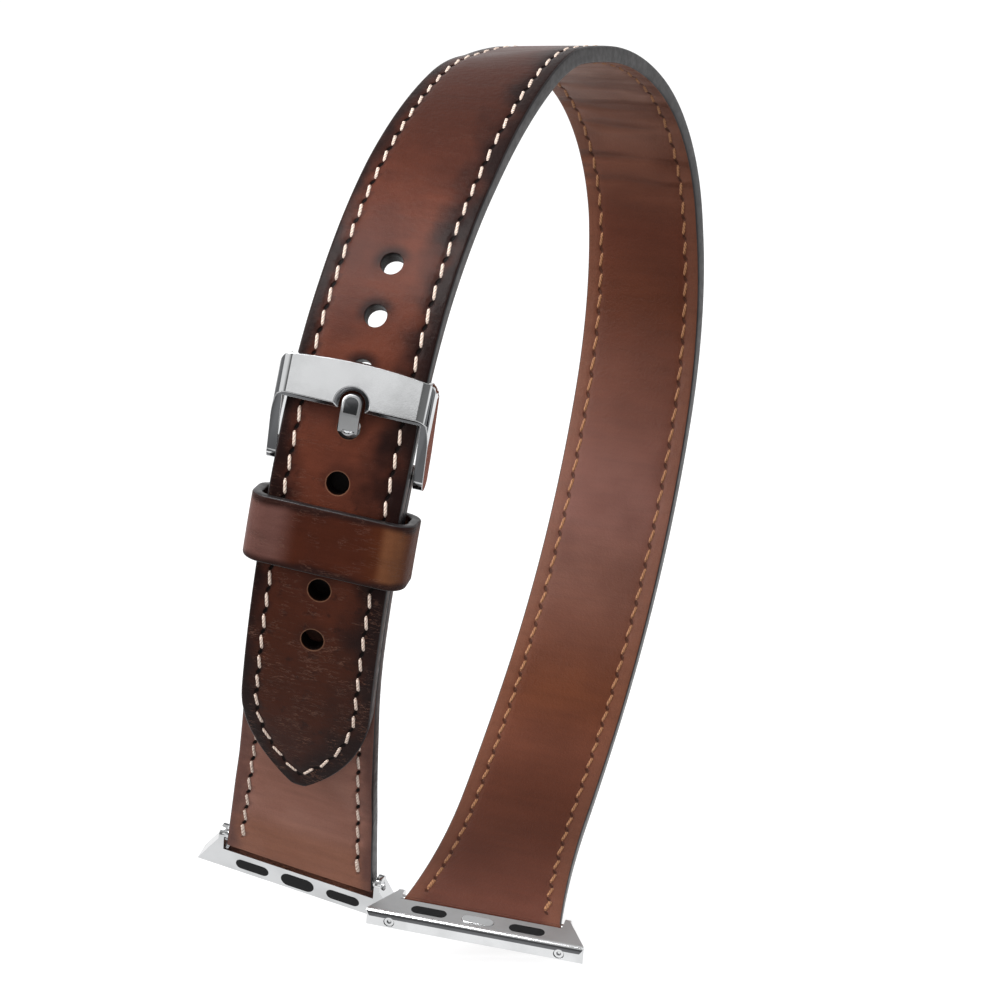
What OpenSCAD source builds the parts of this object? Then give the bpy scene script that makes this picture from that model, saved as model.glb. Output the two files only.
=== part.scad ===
// Double wrap leather strap for a smart watch, buckled into its loop and hung over a display peg.
// Millimetres. The origin is the inner face of the strap at the top of the loop.
// X runs across the strap there, Z is up, and the buckle is on the side of -Y.

/* [Straps] */
// Length of the long strap from the top of the loop down its back to the adapter
back_l = 204; // [200:1:208]
// Length of the long strap from the top of the loop down its front to the tip of the tail
front_l = 139; // [137:1:142]
// Length of the short strap past the tip of the tail
short_l = 21; // [19:1:24]
// Width of both straps
strap_w = 20; // [18:0.5:21]
// Thickness of the outer leather
leather_t = 1.4; // [1.2:0.1:1.8]
// Thickness of the lining leather
lining_t = 1.2; // [1.0:0.1:1.5]
// Play between the long strap and the short strap under it
strap_gap = 0.3; // [0.25:0.05:0.6]
// Width of each strap where it meets its adapter
strap_end_w = 24.4; // [22:0.2:26]
// Length over which the long strap widens to its adapter
long_flare_l = 28; // [16:1:50]
// Length over which the short strap widens to its adapter
short_flare_l = 46; // [20:1:46]
// Bevel along the painted edges
edge_bevel = 0.3; // [0.1:0.05:0.5]
// Length of the pointed tail
tail_l = 17; // [12:1:22]
// Width of the blunt tip of the tail
tail_tip_w = 1.6; // [1:0.2:4]

/* [Holes] */
// Number of holes in the long strap
hole_count = 8; // [5:1:8]
// Diameter of a hole
hole_d = 3.3; // [3.2:0.1:3.8]
// Distance from one hole to the next
hole_pitch = 8.2; // [7.9:0.1:8.6]
// Distance along the strap from the top of the loop to the first hole
first_hole_s = 53.3; // [52.9:0.1:53.7]

/* [Stitching] */
// Distance from one stitch to the next
stitch_pitch = 3.55; // [3:0.05:5]
// Length of a stitch
stitch_l = 2.4; // [1.6:0.1:2.8]
// Diameter of the sewing thread
thread_d = 0.6; // [0.5:0.05:0.9]
// Height of the thread above the leather
thread_rise = 0.12; // [0.08:0.01:0.12]
// Distance of the stitching from the edge
stitch_inset = 2.4; // [1.8:0.1:3.2]
// Slant of a stitch against the edge
stitch_slant = 6; // [0:1:12]
// Distance of the first stitch from an end of a strap
stitch_start = 4.4; // [4.2:0.1:8]

/* [Keeper] */
// Height of the keeper loop
keeper_h = 9.8; // [7:0.2:11]
// Thickness of the keeper leather
keeper_t = 1.5; // [1.2:0.1:2]
// Play of the keeper at the edges of the straps
keeper_side_play = 0.9; // [0.5:0.1:1.5]
// Play of the keeper at the faces of the straps
keeper_face_play = 0.35; // [0.3:0.05:0.6]
// Inner corner radius of the keeper
keeper_r = 1.6; // [0.8:0.1:2.4]
// Distance from the buckle pin to the middle of the keeper
keeper_from_pin = 11.2; // [10.4:0.1:14]

/* [Buckle] */
// Distance from the buckle pin to the hole that the tongue is in
pin_to_hole = 5.6; // [5.4:0.1:5.8]
// Play between the buckle frame and the edges of the strap
frame_play = 0.35; // [0.3:0.05:0.8]
// Thickness of the frame's side arms
arm_t = 1.5; // [1.3:0.1:2]
// Distance from the pin to the lower edge of the front bar
bar_from_pin = 8.4; // [8.3:0.1:9]
// Height of the front bar's polished face
bar_h = 6.7; // [6:0.1:7.2]
// Thickness of the front bar
bar_t = 1.6; // [1.3:0.1:2.2]
// Play between the front bar and the leather below it
bar_play = 0.3; // [0.25:0.05:0.6]
// Bevel along the bar's lower edge and round its notch
bar_bevel = 0.7; // [0.3:0.1:0.9]
// Bow of the front bar's upper edge
bar_bow = 0.7; // [0.3:0.1:1.2]
// Radius of the frame's edge from the bar's face round to the arms' sides
frame_r = 2.2; // [1:0.1:3]
// Radius of the bar's upper corners, seen from the front
bar_corner_r = 3; // [1.5:0.1:3.6]
// Radius of the frame round the pin
frame_eye_r = 1.7; // [1.4:0.1:2]
// Distance from the bar's lower edge to the centre of the notch for the tongue
notch_in = 0.9; // [0.7:0.1:1.2]
// Radius of the notch for the tongue
notch_r = 2; // [1.8:0.1:2.2]
// Length of the slope from the tongue's leg up to its flat top
tongue_slope_l = 2.5; // [2:0.1:3]
// Width of the tongue
tongue_w = 2.9; // [2.4:0.1:3]
// Diameter of the tongue's leg in the hole
tongue_leg_d = 2.2; // [1.8:0.1:2.4]

/* [Buckle pin] */
// Length of the short strap above the spring bar
strap_past_pin = 1.7; // [1.5:0.1:2]
// Diameter of the spring bar
pin_d = 1.5; // [1.3:0.1:1.6]
// Diameter of the spring bar's tips
pin_tip_d = 0.8; // [0.6:0.05:0.8]
// Wall of the spring bar's tube
pin_wall = 0.25; // [0.2:0.05:0.25]
// Depth of a tip in the frame
pin_tip_in = 0.95; // [0.6:0.05:1]
// Length that a tip can be pushed in
pin_tip_travel = 1.1; // [0.6:0.05:1.2]
// Clearance between a pin and its bore
pin_clear = 0.03; // [0.02:0.01:0.05]

/* [Adapters] */
// Length of an adapter
rail_l = 33.6; // [32:0.2:36]
// Width of an adapter's rail
rail_w = 4.6; // [4.4:0.1:5.4]
// Thickness of an adapter's rail
rail_t = 3; // [2.8:0.1:3.4]
// Radius of the rounded far edge of the rail
rail_edge_r = 1.1; // [0.6:0.1:1.3]
// Corner radius of the rail's tips
rail_tip_r = 0.7; // [0.4:0.1:0.8]
// Height of the straight part of each end of the rail
rail_end_h = 0.8; // [0.8:0.1:1.4]
// Angle at which each end slopes in from there to its hinge lug
rail_end_slope = 30; // [24:1:31]
// Gap between the end of the strap and the rail
rail_gap = 0.8; // [0.6:0.1:1.4]
// Distance of the hinge bar from the end of the strap
hinge_in = 1.2; // [1.2:0.1:1.5]
// Diameter of the hinge bar
hinge_d = 1.5; // [1.2:0.1:1.6]
// Thickness of a hinge lug at its tip
lug_t = 0.9; // [0.8:0.05:1.1]
// Play between a hinge lug and the edge of the strap
lug_play = 0.35; // [0.3:0.05:0.5]
// Clearance of the hinge bar in the leather
hinge_clear = 0.05; // [0.03:0.01:0.1]

/* [Adapter pads and latch] */
// Length of a pad
pad_l = 5.5; // [4.6:0.1:6]
// Width of a pad
pad_w = 1.9; // [1.4:0.1:2.3]
// Depth of a pad in the rail
pad_depth = 0.5; // [0.3:0.05:0.6]
// Height of a pad above the rail
pad_rise = 0.05; // [0.02:0.01:0.1]
// Distance from the strap's side of the rail to the middle of the pads
pad_in = 2.1; // [2:0.05:2.3]
// Distance from one pad to the next
pad_pitch = 7.6; // [7.2:0.1:8.4]
// Length of the latch button
latch_l = 4.9; // [4:0.1:5.2]
// Width of the latch button
latch_w = 1.9; // [1.5:0.1:2.1]
// Rim that holds the latch button in
latch_rim = 0.3; // [0.2:0.05:0.4]
// Travel of the latch button
latch_travel = 0.7; // [0.4:0.05:0.8]
// Height of the latch button above the rail
latch_rise = 0.12; // [0.05:0.01:0.2]
// Clearance round the latch button
latch_clear = 0.05; // [0.03:0.01:0.08]
// Distance of the adapter screws from the inner faces of the lugs
screw_in = 0.6; // [0.55:0.05:0.65]
// Diameter of the adapter screws' shanks
screw_d = 0.8; // [0.7:0.05:0.9]
// Diameter of the adapter screws' heads
screw_head_d = 1.6; // [1.3:0.1:1.8]

/* [Hidden] */
$fn = 48;

// The loop's route. Each run is its share of the length, its bend inwards and its twist, in degrees.
// The first two lists start at the top of the loop and go down its back and its front.
back_runs = sized([[12, 7, 3], [19, 22, 3], [33, 53, 3],
    [31, 32, -9.5], [58, 36.5, -10], [51, 16, 2]], back_l);
front_runs = sized([[11, 16.5, -5], [25, 19, -8.5], [22, 20.5, -2.5],
    [21, 23, -8], [46, 33.5, 0], [7, 0.5, 3], [7, 0.2, 2]], front_l);
// The short strap's own runs, from below the tip of the tail to its adapter.
short_runs = sized([[6, 1, -1.5], [15, 1, 3]], short_l);
// The fifth front run is a plain arc, where the buckle pin and the keeper are.
arc_run = 4;
ring_step = 3.8;
tail_steps = 10;

strap_t = leather_t + lining_t;
top_z = strap_t / 2;
split_z = top_z - leather_t;
stack_t = strap_t + strap_gap;
edge_w = strap_w / 2;
flare_w = (strap_end_w - strap_w) / 2;
tail_r = (pow(tail_l, 2) + pow(edge_w - tail_tip_w / 2, 2)) / (2 * edge_w - tail_tip_w);
arc_r = front_runs[arc_run][0] / front_runs[arc_run][1] * 180 / PI;

tongue_hole = 3;
tongue_slot = tongue_w + 1;
tongue_hole_s = first_hole_s + tongue_hole * hole_pitch;
pin_s = tongue_hole_s + pin_to_hole;
keeper_s = pin_s + keeper_from_pin;

frame_in = edge_w + frame_play;
frame_out = frame_in + arm_t;
// The strap's arc falls away from the bar; half of that fall is left as room for its twist.
bar_low_z = stack_t + top_z + bar_play - pow(bar_from_pin, 2) / (4 * arc_r);
bar_top_z = bar_low_z + bar_t;
bar_end = bar_from_pin + bar_h;
arm_drop = 3.2;
bow_r = (pow(frame_in, 2) + pow(bar_bow, 2)) / (2 * bar_bow);

rail_near = rail_gap;
rail_far = rail_gap + rail_w;
pad_y = rail_near + pad_in;
lug_in = strap_end_w / 2 + lug_play;
lug_out = lug_in + lug_t;
screw_x = lug_in + screw_in;
latch_lip = 0.5;
latch_flange = 0.5;
latch_pocket_l = latch_l + 2 * latch_rim;
latch_pocket_w = latch_w + 2 * latch_rim;
latch_plug_t = 0.6;
latch_play = 0.2;
latch_spring_t = rail_t - latch_lip - latch_flange - latch_plug_t - latch_travel - latch_play;

function total(runs, i = 0) = i == len(runs) ? 0 : runs[i][0] + total(runs, i + 1);
function sized(runs, l) = [for (run = runs) [run[0] * l / total(runs), run[1], run[2]]];

function shift(p) = [[1, 0, 0, p[0]], [0, 1, 0, p[1]], [0, 0, 1, p[2]], [0, 0, 0, 1]];

// The place a distance d along one run: a plain arc or a helix, with y along it, x across it and z outwards.
function along(run, d) =
    let (
        turn = [-run[1], run[2], 0] / run[0],
        rate = max(norm(turn), 0.000001),
        u = turn / rate,
        c = cos(rate * d),
        s = sin(rate * d),
        r = 180 / PI / rate,
        y = [0, 1, 0],
        move = u * (u * y) * d + (y - u * (u * y)) * r * s + cross(u, y) * r * (1 - c)
    )
    [[c + u[0] * u[0] * (1 - c), u[0] * u[1] * (1 - c) - u[2] * s, u[0] * u[2] * (1 - c) + u[1] * s, move[0]],
     [u[1] * u[0] * (1 - c) + u[2] * s, c + u[1] * u[1] * (1 - c), u[1] * u[2] * (1 - c) - u[0] * s, move[1]],
     [u[2] * u[0] * (1 - c) - u[1] * s, u[2] * u[1] * (1 - c) + u[0] * s, c + u[2] * u[2] * (1 - c), move[2]],
     [0, 0, 0, 1]];

function follow(start, runs, s, i = 0) =
    i == len(runs) - 1 || s <= runs[i][0]
        ? start * along(runs[i], s)
        : follow(start * along(runs[i], runs[i][0]), runs, s - runs[i][0], i + 1);

turn_round = [[-1, 0, 0, 0], [0, -1, 0, 0], [0, 0, 1, 0], [0, 0, 0, 1]];
loop_top = shift([0, 0, top_z]);

// Frames on the middle of the strap's thickness, by the distance from the top of the loop.
function back_at(s) = follow(loop_top, back_runs, s);
function front_at(s) = follow(loop_top * turn_round, front_runs, s);
function under_at(s) =
    s <= front_l
        ? front_at(s) * shift([0, 0, -stack_t])
        : follow(front_at(front_l) * shift([0, 0, -stack_t]), short_runs, s - front_l);
// One count along the whole long strap: below zero on the front, above zero on the back.
function long_at(t) = t < 0 ? front_at(-t) * turn_round : back_at(t);

function flare(d, l, power) = d >= l ? 0 : flare_w * pow(1 - d / l, power);
function tail_half(d, inset = 0) =
    sqrt(max(0, pow(tail_r - inset, 2) - pow(tail_l - d, 2))) - (tail_r - edge_w);
function long_half(t) =
    t < tail_l - front_l ? tail_half(t + front_l) : edge_w + flare(back_l - t, long_flare_l, 2);
function short_half(s) = edge_w + flare(front_l + short_l - s, short_flare_l, 1.5);

long_stations = concat(
    [for (i = [0:tail_steps - 1]) -front_l + tail_l * i / tail_steps],
    let (n = ceil((back_l + front_l - tail_l) / ring_step))
        [for (i = [0:n]) tail_l - front_l + (back_l + front_l - tail_l) * i / n]);
short_stations = let (first = pin_s - strap_past_pin, l = front_l + short_l - first, n = ceil(l / ring_step))
    [for (i = [0:n]) first + l * i / n];

// Sections of the strap: the outer leather above the split, and the lining below it.
function leather_section(w) = [[-w, split_z], [w, split_z], [w, top_z - edge_bevel], [w - edge_bevel, top_z],
    [edge_bevel - w, top_z], [-w, top_z - edge_bevel]];
function lining_section(w) = [[edge_bevel - w, -top_z], [w - edge_bevel, -top_z], [w, edge_bevel - top_z],
    [w, split_z], [-w, split_z], [-w, edge_bevel - top_z]];
function ring(m, section) = [for (p = section) let (q = m * [p[0], 0, p[1], 1]) [q[0], q[1], q[2]]];

// The second half of each section takes the other diagonal,
// so that the two layers meet on the same triangles.
module swept(rings) {
    n = len(rings[0]);
    last = len(rings) - 1;
    walls = [for (i = [0:last - 1], j = [0:n - 1])
        let (a = i * n + j, b = i * n + (j + 1) % n)
        each j < n / 2 ? [[a, b + n, a + n], [a, b, b + n]] : [[a, b, a + n], [b, b + n, a + n]]];
    start = [for (j = [0:n - 1]) n - 1 - j];
    end = [for (j = [0:n - 1]) last * n + j];
    polyhedron([for (r = rings) each r], concat(walls, [start, end]));
}

module stadium(l, w, h) {
    for (side = [-1, 1])
        translate([side * (l - w) / 2, 0, 0])
            cylinder(d = w, h = h);
    translate([(w - l) / 2, -w / 2, 0])
        cube([l - w, w, h]);
}

module rounded(w, h, r) {
    square([w - 2 * r, h], center = true);
    square([w, h - 2 * r], center = true);
    for (x = [-1, 1], y = [-1, 1])
        translate([x * (w / 2 - r), y * (h / 2 - r)])
            circle(r);
}

// Straps

module holes() {
    for (k = [0:hole_count - 1])
        multmatrix(front_at(first_hole_s + k * hole_pitch))
            cylinder(d = hole_d, h = 3 * strap_t, center = true);
}

module cross_bore(d) {
    rotate([0, 90, 0])
        cylinder(d = d, h = 2 * strap_end_w, center = true);
}

module long_bores() {
    holes();
    at_long_end()
        cross_bore(hinge_d + 2 * hinge_clear);
}

module short_bores() {
    at_pin() {
        cross_bore(pin_d + 2 * pin_clear);
        translate([-tongue_slot / 2, -2 * strap_past_pin, -strap_t])
            cube([tongue_slot, 2 * strap_past_pin + top_z + 1, 2 * strap_t]);
    }
    at_short_end()
        cross_bore(hinge_d + 2 * hinge_clear);
}

module long_strap_leather() {
    color([0.30, 0.16, 0.11])
        difference() {
            swept([for (t = long_stations) ring(long_at(t), leather_section(long_half(t)))]);
            long_bores();
        }
}

module long_strap_lining() {
    color([0.50, 0.28, 0.18])
        difference() {
            swept([for (t = long_stations) ring(long_at(t), lining_section(long_half(t)))]);
            long_bores();
        }
}

module short_strap_leather() {
    color([0.42, 0.27, 0.20])
        difference() {
            swept([for (s = short_stations) ring(under_at(s), leather_section(short_half(s)))]);
            short_bores();
        }
}

module short_strap_lining() {
    color([0.50, 0.28, 0.18])
        difference() {
            swept([for (s = short_stations) ring(under_at(s), lining_section(short_half(s)))]);
            short_bores();
        }
}

// Stitching

module stitch(m, x, face, turn) {
    multmatrix(m)
        translate([x, 0, face * (top_z + thread_rise - thread_d / 2)])
            rotate([90, 0, turn])
                cylinder(d = thread_d, h = stitch_l, center = true, $fn = 16);
}

module long_stitches(face) {
    first = tail_l - front_l + stitch_pitch / 2;
    count = floor((back_l - stitch_start - first) / stitch_pitch);
    for (i = [0:count], side = [-1, 1])
        let (t = first + i * stitch_pitch)
        stitch(long_at(t), side * (long_half(t) - stitch_inset), face, side * stitch_slant);
    // Round the tail the stitches follow its arcs.
    line_r = tail_r - stitch_inset;
    tip_turn = acos((tail_r - edge_w) / line_r);
    n = round(line_r * tip_turn * PI / 180 / stitch_pitch);
    for (i = [0:n - 1], side = [-1, 1])
        let (a = tip_turn * (i + 0.5) / n, d = tail_l - line_r * sin(a))
        stitch(long_at(d - front_l), side * (line_r * cos(a) - tail_r + edge_w), face, -side * a);
}

module short_stitches(face) {
    first = pin_s + stitch_start;
    count = floor((front_l + short_l - stitch_start - first) / stitch_pitch);
    for (i = [0:count], side = [-1, 1])
        let (s = first + i * stitch_pitch)
        stitch(under_at(s), side * (short_half(s) - stitch_inset), face, side * stitch_slant);
}

module long_strap_top_thread() {
    color([0.90, 0.80, 0.74])
        long_stitches(1);
}

module long_strap_lining_thread() {
    color([0.70, 0.48, 0.32])
        long_stitches(-1);
}

module short_strap_top_thread() {
    color([0.90, 0.80, 0.74])
        short_stitches(1);
}

module short_strap_lining_thread() {
    color([0.70, 0.48, 0.32])
        short_stitches(-1);
}

// Keeper

module keeper_sweep(h) {
    angle = h / arc_r * 180 / PI;
    multmatrix(front_at(keeper_s) * shift([0, 0, -arc_r]))
        multmatrix([[0, 0, 1, 0], [0, -1, 0, 0], [1, 0, 0, 0], [0, 0, 0, 1]])
            rotate([0, 0, -angle / 2])
                rotate_extrude(angle = angle, $fn = 180)
                    translate([arc_r - stack_t / 2, 0])
                        children();
}

keeper_in_x = strap_w + 2 * keeper_side_play;
keeper_in_z = strap_t + stack_t + 2 * keeper_face_play;

module keeper_loop() {
    color([0.34, 0.19, 0.14])
        keeper_sweep(keeper_h)
            difference() {
                rounded(keeper_in_z + 2 * keeper_t, keeper_in_x + 2 * keeper_t, keeper_r + keeper_t);
                rounded(keeper_in_z, keeper_in_x, keeper_r);
            }
}

module keeper_seam_thread() {
    color([0.90, 0.80, 0.74])
        for (side = [-1, 1])
            multmatrix(front_at(keeper_s) * shift([side * stitch_inset, 0, 0]))
                translate([0, 0, -(keeper_in_z + stack_t) / 2 - keeper_t - thread_rise + thread_d / 2])
                    rotate([90, 0, 0])
                        cylinder(d = thread_d, h = keeper_h - 2 * stitch_inset, center = true, $fn = 16);
}

// Buckle, drawn round its pin: y runs down the strap and z outwards

module at_pin() {
    multmatrix(under_at(pin_s))
        children();
}

module side_cut(w) {
    rotate([90, 0, -90])
        linear_extrude(w, center = true)
            children();
}

module frame_side() {
    circle(frame_eye_r);
    polygon([[0, -frame_eye_r], [bar_from_pin / 2, -frame_eye_r / 2],
        [bar_end - 1, bar_top_z - arm_drop], [bar_end + bar_bow, bar_low_z],
        [bar_end + bar_bow, bar_top_z], [bar_from_pin + bar_bevel, bar_top_z],
        [bar_from_pin, bar_top_z - bar_bevel], [-frame_eye_r / 2, frame_eye_r * 0.85]]);
}

module frame_plan() {
    intersection() {
        translate([0, -bar_bow / 2])
            rounded(2 * frame_out, 2 * bar_end, bar_corner_r);
        translate([0, bow_r - bar_end - bar_bow / 2])
            circle(bow_r, $fn = 180);
    }
}

module frame_notch() {
    translate([0, -bar_from_pin - notch_in, 0]) {
        cylinder(r = notch_r, h = 2 * bar_end);
        translate([-notch_r, 0, 0])
            cube([2 * notch_r, 2 * notch_in, 2 * bar_end]);
        translate([0, 0, bar_top_z - bar_bevel])
            cylinder(r1 = notch_r, r2 = notch_r + 2 * bar_bevel, h = 2 * bar_bevel);
        for (side = [-1, 1])
            translate([side * notch_r, notch_in, bar_top_z])
                rotate([0, 45, 0])
                    cube([bar_bevel * sqrt(2), 2 * notch_in, bar_bevel * sqrt(2)], center = true);
    }
}

module buckle_frame() {
    window = 2 * frame_in;
    tip_holes_w = 2 * (frame_in + pin_tip_in + pin_clear);
    color([0.82, 0.83, 0.84])
        at_pin()
            difference() {
                intersection() {
                    side_cut(2 * frame_out)
                        frame_side();
                    linear_extrude(4 * bar_top_z, center = true)
                        frame_plan();
                    rotate([90, 0, 0])
                        linear_extrude(4 * bar_end, center = true)
                            translate([0, bar_top_z - bar_end])
                                rounded(2 * frame_out, 2 * bar_end, frame_r);
                }
                translate([-window / 2, -2 * bar_end, bar_low_z - 2 * bar_end])
                    cube([window, 4 * bar_end, 2 * bar_end]);
                translate([-window / 2, -bar_from_pin, -bar_end])
                    cube([window, 2 * bar_end, 2 * bar_end]);
                frame_notch();
                rotate([0, 90, 0])
                    cylinder(d = pin_tip_d + 2 * pin_clear, h = tip_holes_w, center = true);
            }
}

tongue_top_z = bar_top_z - 0.3;
tongue_over_z = stack_t + top_z + 0.15;
tongue_under_z = 0.3;
tongue_low_z = -0.75;
tongue_tip = bar_from_pin + notch_in + notch_r - 0.5;

module buckle_tongue() {
    slope_low = pin_to_hole - 0.6;
    color([0.74, 0.75, 0.76])
        at_pin()
            difference() {
                union() {
                    rotate([0, 90, 0])
                        cylinder(r = top_z - 0.05, h = tongue_w, center = true);
                    side_cut(tongue_w)
                        polygon([[0, tongue_low_z], [pin_to_hole + tongue_leg_d / 2, tongue_low_z],
                            [pin_to_hole + tongue_leg_d / 2, tongue_under_z], [0, tongue_under_z]]);
                    translate([0, -pin_to_hole - 0.1, tongue_low_z])
                        cylinder(d = tongue_leg_d, h = tongue_over_z - tongue_low_z + 0.5);
                    intersection() {
                        side_cut(tongue_w)
                            polygon([[slope_low, tongue_over_z], [tongue_tip, tongue_over_z],
                                [tongue_tip, tongue_top_z], [slope_low + tongue_slope_l, tongue_top_z],
                                [slope_low, tongue_over_z + 0.4]]);
                        translate([0, -tongue_tip / 2, 0])
                            linear_extrude(2 * bar_top_z)
                                rounded(tongue_w, tongue_tip, tongue_w / 2 - 0.1);
                    }
                }
                cross_bore(pin_d + 2 * pin_clear);
            }
}

// Spring bar: a tube with a spring inside and a sprung tip at each end

tube_half = edge_w - 0.1;
cap_t = 0.3;
tip_end = frame_in + pin_tip_in;
tube_bore = pin_d - 2 * pin_wall;

module spring_bar_tube() {
    color([0.66, 0.67, 0.68])
        at_pin()
            rotate([0, 90, 0])
                difference() {
                    cylinder(d = pin_d, h = 2 * tube_half, center = true);
                    cylinder(d = tube_bore, h = 2 * (tube_half - cap_t), center = true);
                    cylinder(d = pin_tip_d + 2 * pin_clear, h = 3 * tube_half, center = true);
                }
}

module spring_bar_spring() {
    length = 2 * (tube_half - cap_t - pin_tip_travel - 1.5);
    color([0.55, 0.55, 0.56])
        at_pin()
            rotate([0, 90, 0])
                difference() {
                    cylinder(d = tube_bore - 2 * pin_clear, h = length, center = true);
                    cylinder(d = tube_bore / 2, h = 2 * length, center = true);
                }
}

module spring_bar_tip(side) {
    shoulder = tube_half - cap_t - 0.02;
    color([0.80, 0.80, 0.81])
        at_pin()
            rotate([0, side * 90, 0]) {
                translate([0, 0, shoulder - 1.2])
                    cylinder(d = tube_bore - 2 * pin_clear, h = 1.2);
                translate([0, 0, shoulder - 0.1])
                    cylinder(d = pin_tip_d, h = tip_end - shoulder + 0.1);
            }
}

module spring_bar_left_tip() {
    spring_bar_tip(1);
}

module spring_bar_right_tip() {
    spring_bar_tip(-1);
}

// Adapters, drawn round the hinge bar: y runs away from the strap and z outwards, away from the wrist

module at_long_end() {
    multmatrix(back_at(back_l) * shift([0, -hinge_in, 0]))
        children();
}

module at_short_end() {
    multmatrix(under_at(front_l + short_l) * shift([0, -hinge_in, 0]))
        children();
}

module rail_plan() {
    slope_high = rail_far - rail_end_h;
    slope_low = slope_high - (rail_l / 2 - lug_out) / tan(rail_end_slope);
    difference() {
        intersection() {
            translate([0, rail_far - 2 * rail_w])
                rounded(rail_l, 4 * rail_w, rail_tip_r);
            polygon([[lug_out, -2 * rail_w], [lug_out, slope_low], [rail_l / 2, slope_high],
                [rail_l / 2, rail_far], [-rail_l / 2, rail_far], [-rail_l / 2, slope_high],
                [-lug_out, slope_low], [-lug_out, -2 * rail_w]]);
        }
        translate([-lug_in, rail_near - 3 * rail_w])
            square([2 * lug_in, 3 * rail_w]);
    }
}

module rail_side() {
    translate([-hinge_in, 0])
        circle(rail_t / 2);
    translate([-hinge_in, -rail_t / 2])
        square([hinge_in + rail_far - rail_edge_r, rail_t]);
    translate([-hinge_in, rail_edge_r - rail_t / 2])
        square([hinge_in + rail_far, rail_t - 2 * rail_edge_r]);
    for (side = [-1, 1])
        translate([rail_far - rail_edge_r, side * (rail_t / 2 - rail_edge_r)])
            circle(rail_edge_r);
}

module rail_rod(x, y, d, h) {
    translate([x, y, 0])
        rotate([90, 0, 0])
            cylinder(d = d, h = h);
}

module rail_form() {
    screw_end = hinge_in - hinge_d / 2 + 0.2;
    difference() {
        intersection() {
            linear_extrude(2 * rail_t, center = true)
                rail_plan();
            rotate([90, 0, 90])
                linear_extrude(2 * rail_l, center = true)
                    rail_side();
        }
        // Bores for the hinge bar and for the screws that lock it.
        translate([0, -hinge_in, 0])
            cross_bore(hinge_d + 2 * pin_clear);
        for (side = [-1, 1]) {
            rail_rod(side * screw_x, rail_far + 1, screw_d + 2 * pin_clear, rail_far + 1 + screw_end);
            rail_rod(side * screw_x, rail_far + 1, screw_head_d + 2 * pin_clear, 1.6);
        }
        // Seats of the outer and the wrist side pads.
        for (side = [-1, 1]) {
            translate([side * pad_pitch, pad_y, rail_t / 2 - pad_depth])
                stadium(pad_l, pad_w, rail_t);
            translate([side * pad_pitch, pad_y, pad_depth - rail_t / 2 - rail_t])
                stadium(pad_l, pad_w, rail_t);
        }
        // Stepped pocket of the latch, closed on the outer side by the middle pad.
        translate([0, pad_y, latch_lip - rail_t / 2])
            stadium(latch_pocket_l, latch_pocket_w, 2 * rail_t);
        translate([0, pad_y, -rail_t])
            stadium(latch_l + 2 * latch_clear, latch_w + 2 * latch_clear, 2 * rail_t);
    }
}

module adapter_rail() {
    color([0.80, 0.81, 0.82])
        translate([0, hinge_in, 0])
            rail_form();
}

module adapter_hinge_bar() {
    color([0.70, 0.71, 0.72])
        rotate([0, 90, 0])
            cylinder(d = hinge_d, h = 2 * lug_out, center = true);
}

module adapter_screws() {
    head_top = hinge_in + rail_far - 0.15;
    color([0.86, 0.86, 0.87])
        for (side = [-1, 1])
            difference() {
                union() {
                    rail_rod(side * screw_x, head_top, screw_head_d, 0.45);
                    rail_rod(side * screw_x, head_top, screw_d, head_top - hinge_d / 2 - 0.02);
                }
                rail_rod(side * screw_x, head_top + 1, 0.6, 1.3);
            }
}

module adapter_wrist_pads() {
    color([0.10, 0.10, 0.10])
        for (side = [-1, 1])
            translate([side * pad_pitch, hinge_in + pad_y, -rail_t / 2 - pad_rise])
                stadium(pad_l, pad_w, pad_depth + pad_rise);
}

module adapter_outer_pads() {
    color([0.10, 0.10, 0.10]) {
        for (side = [-1, 1])
            translate([side * pad_pitch, hinge_in + pad_y, rail_t / 2 - pad_depth])
                stadium(pad_l, pad_w, pad_depth + pad_rise);
        translate([0, hinge_in + pad_y, rail_t / 2 - latch_plug_t])
            stadium(latch_pocket_l, latch_pocket_w, latch_plug_t + pad_rise);
    }
}

module adapter_latch() {
    color([0.76, 0.77, 0.78])
        translate([0, hinge_in + pad_y, 0]) {
            translate([0, 0, -rail_t / 2 - latch_rise])
                stadium(latch_l, latch_w, latch_rise + latch_lip + 0.2);
            translate([0, 0, latch_lip - rail_t / 2 + 0.02])
                stadium(latch_pocket_l - 2 * latch_clear, latch_pocket_w - 2 * latch_clear, latch_flange);
        }
}

module adapter_latch_spring() {
    color([0.55, 0.55, 0.56])
        translate([0, hinge_in + pad_y, rail_t / 2 - latch_plug_t - latch_spring_t])
            difference() {
                cylinder(d = latch_w, h = latch_spring_t);
                cylinder(d = latch_w / 2, h = 4 * latch_spring_t, center = true);
            }
}

module long_adapter_rail() {
    at_long_end() adapter_rail();
}

module long_adapter_hinge_bar() {
    at_long_end() adapter_hinge_bar();
}

module long_adapter_screws() {
    at_long_end() adapter_screws();
}

module long_adapter_wrist_pads() {
    at_long_end() adapter_wrist_pads();
}

module long_adapter_outer_pads() {
    at_long_end() adapter_outer_pads();
}

module long_adapter_latch() {
    at_long_end() adapter_latch();
}

module long_adapter_latch_spring() {
    at_long_end() adapter_latch_spring();
}

module short_adapter_rail() {
    at_short_end() adapter_rail();
}

module short_adapter_hinge_bar() {
    at_short_end() adapter_hinge_bar();
}

module short_adapter_screws() {
    at_short_end() adapter_screws();
}

module short_adapter_wrist_pads() {
    at_short_end() adapter_wrist_pads();
}

module short_adapter_outer_pads() {
    at_short_end() adapter_outer_pads();
}

module short_adapter_latch() {
    at_short_end() adapter_latch();
}

module short_adapter_latch_spring() {
    at_short_end() adapter_latch_spring();
}

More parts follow.
